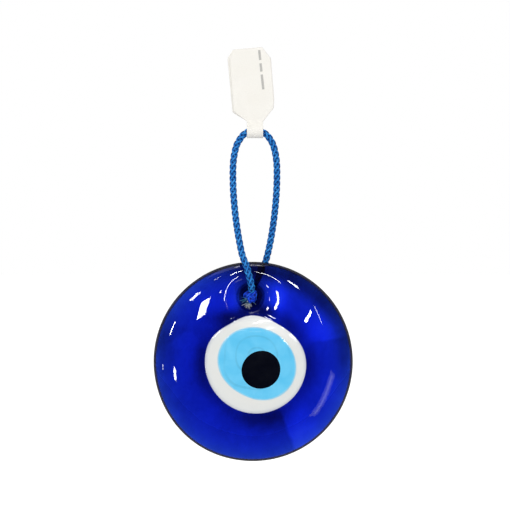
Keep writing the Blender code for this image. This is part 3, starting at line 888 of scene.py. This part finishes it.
# ------------------------------------------------------------------ the label
def paper_label():
    """One strip of card: front leaf, down round the cord, and up the back leaf."""
    base = TAG_AXIS_Z + 3.2
    top = base + TAG_H
    half, corner, foot = TAG_W / 2, 2.4, 3.3
    loop_r = 1.92

    def leaf_half(t):
        """Left and right half widths at a height t above the leaf's foot."""
        right = np.interp(t, [-0.6, 0.0, foot, foot + 2.6, TAG_H - corner - 1.2, TAG_H],
                          [NECK_W / 2, half * 0.42, half - 0.4, half, half, half - corner])
        left = np.interp(t, [-0.6, 0.0, foot, TAG_H - corner, TAG_H],
                         [NECK_W / 2, half * 0.42, half, half, half - corner * 0.8])
        return left, right

    side = []                                    # (y, z, leaf height or None)
    heights = np.concatenate([np.linspace(TAG_H, TAG_H - 4, 10), np.linspace(TAG_H - 4, 4, 26)[1:], np.linspace(4, 0, 14)[1:]])
    for t in heights:
        side.append((-0.13, base + t, t))
    # neck: from the leaf's foot out to the loop and round the cord
    start = math.radians(58)
    for k in range(1, 7):
        t = k / 7
        ease = t * t * (3 - 2 * t)
        y1, z1 = -loop_r * math.cos(start), TAG_AXIS_Z + loop_r * math.sin(start)
        side.append((-0.13 + (y1 + 0.13) * ease, base + (z1 - base) * t, -0.6 - t))
    for k in range(0, 29):
        a = start - (math.pi + 2 * start) * k / 28
        # the loop hangs on the cord: its bottom is a little fuller than its top
        side.append((-loop_r * math.cos(a), TAG_AXIS_Z + loop_r * math.sin(a), -2.0))
    mirrored = [(-y, z, t) for y, z, t in side[:-29][::-1]]
    front_rows = len(side) - 29
    side += mirrored
    columns = 25
    u = np.linspace(-1, 1, columns)
    verts = []
    for i, (y, z, t) in enumerate(side):
        back = i >= front_rows + 29
        if t > -0.6:
            left, right = leaf_half(max(t, -0.6))
        else:
            left = right = NECK_W / 2
        x = np.where(u < 0, u * left, u * right)
        zz = np.full(columns, z)
        yy = np.full(columns, y)
        if t > -0.6:
            lift = max(t, 0.0) / TAG_H
            lean = TAG_LEAN + (math.radians(0.9) if back else 0.0)
            dx = -0.22 if back else 0.0
            height = z - base
            x, zz = (
                x * math.cos(lean) - height * math.sin(lean) + dx * min(1.0, max(t, 0) / 3),
                base + x * math.sin(lean) * min(1.0, max(t, 0) / 2) + height * math.cos(lean),
            )
            # the leaves are not quite flat, and gape a little at the lower left
            curl = 0.30 * lift**2 + 0.12 * np.sin(2.2 * u + 0.6) * lift
            gape = (0.16 * (u < -0.3) * (-u - 0.3) * math.exp(-((t - 4.0) / 5.0) ** 2)) if back else 0.0
            yy = yy - curl * 0.9 + gape
        verts.append(np.stack([x, yy, zz], 1))
    mesh = mesh_object("paper_label", np.concatenate(verts), grid_faces(len(side), columns, wrap_columns=False))
    front = np.repeat([1.0 if i < front_rows else 0.0 for i in range(len(side))], columns)
    mesh.data.attributes.new("front_leaf", "FLOAT", "POINT").data.foreach_set("value", front.astype(np.float32))
    return mesh


label = paper_label()
label.data.materials.append(MAT_PAPER)
thick = label.modifiers.new("card", "SOLIDIFY")
thick.thickness = 0.19 * MM
thick.offset = 0.0
label.data.polygons.foreach_set("use_smooth", np.ones(len(label.data.polygons), bool))
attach(label, "tag")
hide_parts("tag_leaves", "tag_neck_loop")


# --------------------------------------------------------- floor and lighting
def plain_material(name, colour, glow=0.0):
    made, tree, shader = new_material(name)
    shader.inputs["Base Color"].default_value = (*colour, 1.0)
    shader.inputs["Roughness"].default_value = 0.9
    shader.inputs["Specular IOR Level"].default_value = 0.0
    if glow:
        seen = tree.nodes.new("ShaderNodeLightPath")
        shader.inputs["Emission Color"].default_value = (1.0, 1.0, 1.0, 1.0)
        direct = maths(tree, "SUBTRACT", 1.0, seen.outputs["Is Diffuse Ray"])
        tree.links.new(maths(tree, "MULTIPLY", direct, glow), shader.inputs["Emission Strength"])
    return made


bpy.ops.mesh.primitive_circle_add(vertices=96, radius=6.0, fill_type="NGON", location=(0, 0, -0.130))
floor = bpy.context.object
floor.name = "floor"
floor.data.materials.append(plain_material("floor_pale", (0.80, 0.80, 0.80), 0.50))
floor.visible_glossy = False

world = bpy.data.worlds.new("studio")
scene.world = world
world.use_nodes = True
wt = world.node_tree
background = wt.nodes["Background"]
paths = wt.nodes.new("ShaderNodeLightPath")
level = wt.nodes.new("ShaderNodeMix")
level.data_type = "RGBA"
sockets = [s for s in level.inputs if s.type == "RGBA"]
sockets[0].default_value = (1.0, 1.0, 1.0, 1.0)
sockets[1].default_value = (0.775, 0.775, 0.785, 1.0)
wt.links.new(paths.outputs["Is Diffuse Ray"], level.inputs[0])
dim = wt.nodes.new("ShaderNodeMix")
dim.data_type = "RGBA"
sockets = [s for s in dim.inputs if s.type == "RGBA"]
wt.links.new([s for s in level.outputs if s.type == "RGBA"][0], sockets[0])
sockets[1].default_value = (0.035, 0.040, 0.055, 1.0)
mirrored = wt.nodes.new("ShaderNodeMath")
mirrored.operation = "MULTIPLY"
wt.links.new(paths.outputs["Is Reflection Ray"], mirrored.inputs[0])
wt.links.new(paths.outputs["Is Glossy Ray"], mirrored.inputs[1])
bearing = wt.nodes.new("ShaderNodeTexCoord")
heading = wt.nodes.new("ShaderNodeSeparateXYZ")
wt.links.new(bearing.outputs["Generated"], heading.inputs[0])
# the room to the sides is pale, and behind the object it is nearly as dark as in front
depth_way = wt.nodes.new("ShaderNodeMath")
depth_way.operation = "MULTIPLY_ADD"
depth_way.inputs[1].default_value = 0.5
depth_way.inputs[2].default_value = 0.5
wt.links.new(heading.outputs["Y"], depth_way.inputs[0])
beyond = wt.nodes.new("ShaderNodeValToRGB")
while len(beyond.color_ramp.elements) < 5:
    beyond.color_ramp.elements.new(0.5)
for element, (at, shade) in zip(beyond.color_ramp.elements, ((0.30, 0.0), (0.53, 0.68), (0.69, 0.68), (0.79, 0.10), (1.0, 0.08))):
    element.position = at
    element.color = (shade, shade, shade, 1.0)
wt.links.new(depth_way.outputs[0], beyond.inputs[0])
ahead = wt.nodes.new("ShaderNodeMath")
ahead.operation = "SUBTRACT"
ahead.inputs[0].default_value = 1.0
wt.links.new(beyond.outputs["Color"], ahead.inputs[1])
dark = wt.nodes.new("ShaderNodeMath")
dark.operation = "MULTIPLY"
wt.links.new(mirrored.outputs[0], dark.inputs[0])
wt.links.new(ahead.outputs[0], dark.inputs[1])
wt.links.new(dark.outputs[0], dim.inputs[0])
wt.links.new([s for s in dim.outputs if s.type == "RGBA"][0], background.inputs["Color"])
background.inputs["Strength"].default_value = 1.0

AIM = Vector((-0.0005, 0.0, -0.068))


def softbox(name, azimuth, off_axis, distance, width, height, radiance, turn=0.0):
    """A rectangular light seen from the disc at off_axis degrees from straight
    in front, towards azimuth (0 right, 90 up)."""
    a, o = math.radians(azimuth), math.radians(off_axis)
    direction = Vector((math.sin(o) * math.cos(a), -math.cos(o), math.sin(o) * math.sin(a)))
    data = bpy.data.lights.new(name, "AREA")
    data.shape = "RECTANGLE"
    data.size, data.size_y = width, height
    data.energy = radiance * math.pi * width * height
    made = bpy.data.objects.new(name, data)
    made.location = AIM + direction * distance
    made.rotation_euler = (-direction).to_track_quat("-Z", "Y").to_euler()
    made.rotation_euler.rotate_axis("Z", math.radians(turn))
    # seen in the front faces only, not again through the glass
    made.visible_transmission = False
    scene.collection.objects.link(made)
    return made


# name, azimuth, off axis, width, height, turn, radiance: windows and strips
# round the camera, small beside their distance, so each makes a crisp glint.
for name, azimuth, off_axis, width, height, turn, radiance in (
    ("window_left", 143.4, 14.7, 0.060, 0.180, 17, 34),
    ("window_right", 29.2, 13.3, 0.044, 0.165, -40, 38),
    ("window_right_edge", 27.5, 21.0, 0.016, 0.18, 0, 12),
    ("strip_upper_left", 137.0, 31.0, 0.080, 0.095, -27, 34),
    ("strip_left", 164.9, 31.5, 0.046, 0.110, -11, 34),
    ("strip_top_left", 93.8, 25.7, 0.074, 0.040, -14, 60),
    ("strip_top_far", 115.5, 37.1, 0.030, 0.075, -24, 16),
    ("strip_top_right", 94.9, 13.0, 0.050, 0.026, -20, 34),
    ("strip_upper_right", 65.0, 22.8, 0.094, 0.062, -19, 34),
    ("lamp_left_low", -160.7, 22.9, 0.045, 0.085, -17, 30),
    ("lamp_left_far", -170.6, 40.5, 0.050, 0.056, -18, 10),
    ("strip_lower_right", -33.8, 24.3, 0.045, 0.260, -25, 2.2),
    ("strip_lower_right_soft", -33.8, 24.3, 0.13, 0.300, -25, 0.9),
):
    softbox(name, azimuth, off_axis, 1.3, width, height, radiance, turn)
softbox("strip_overhead", 93, 58, 1.3, 0.34, 0.10, 8)
softbox("fill_front", 100, 60, 1.6, 0.9, 0.7, 0.7)
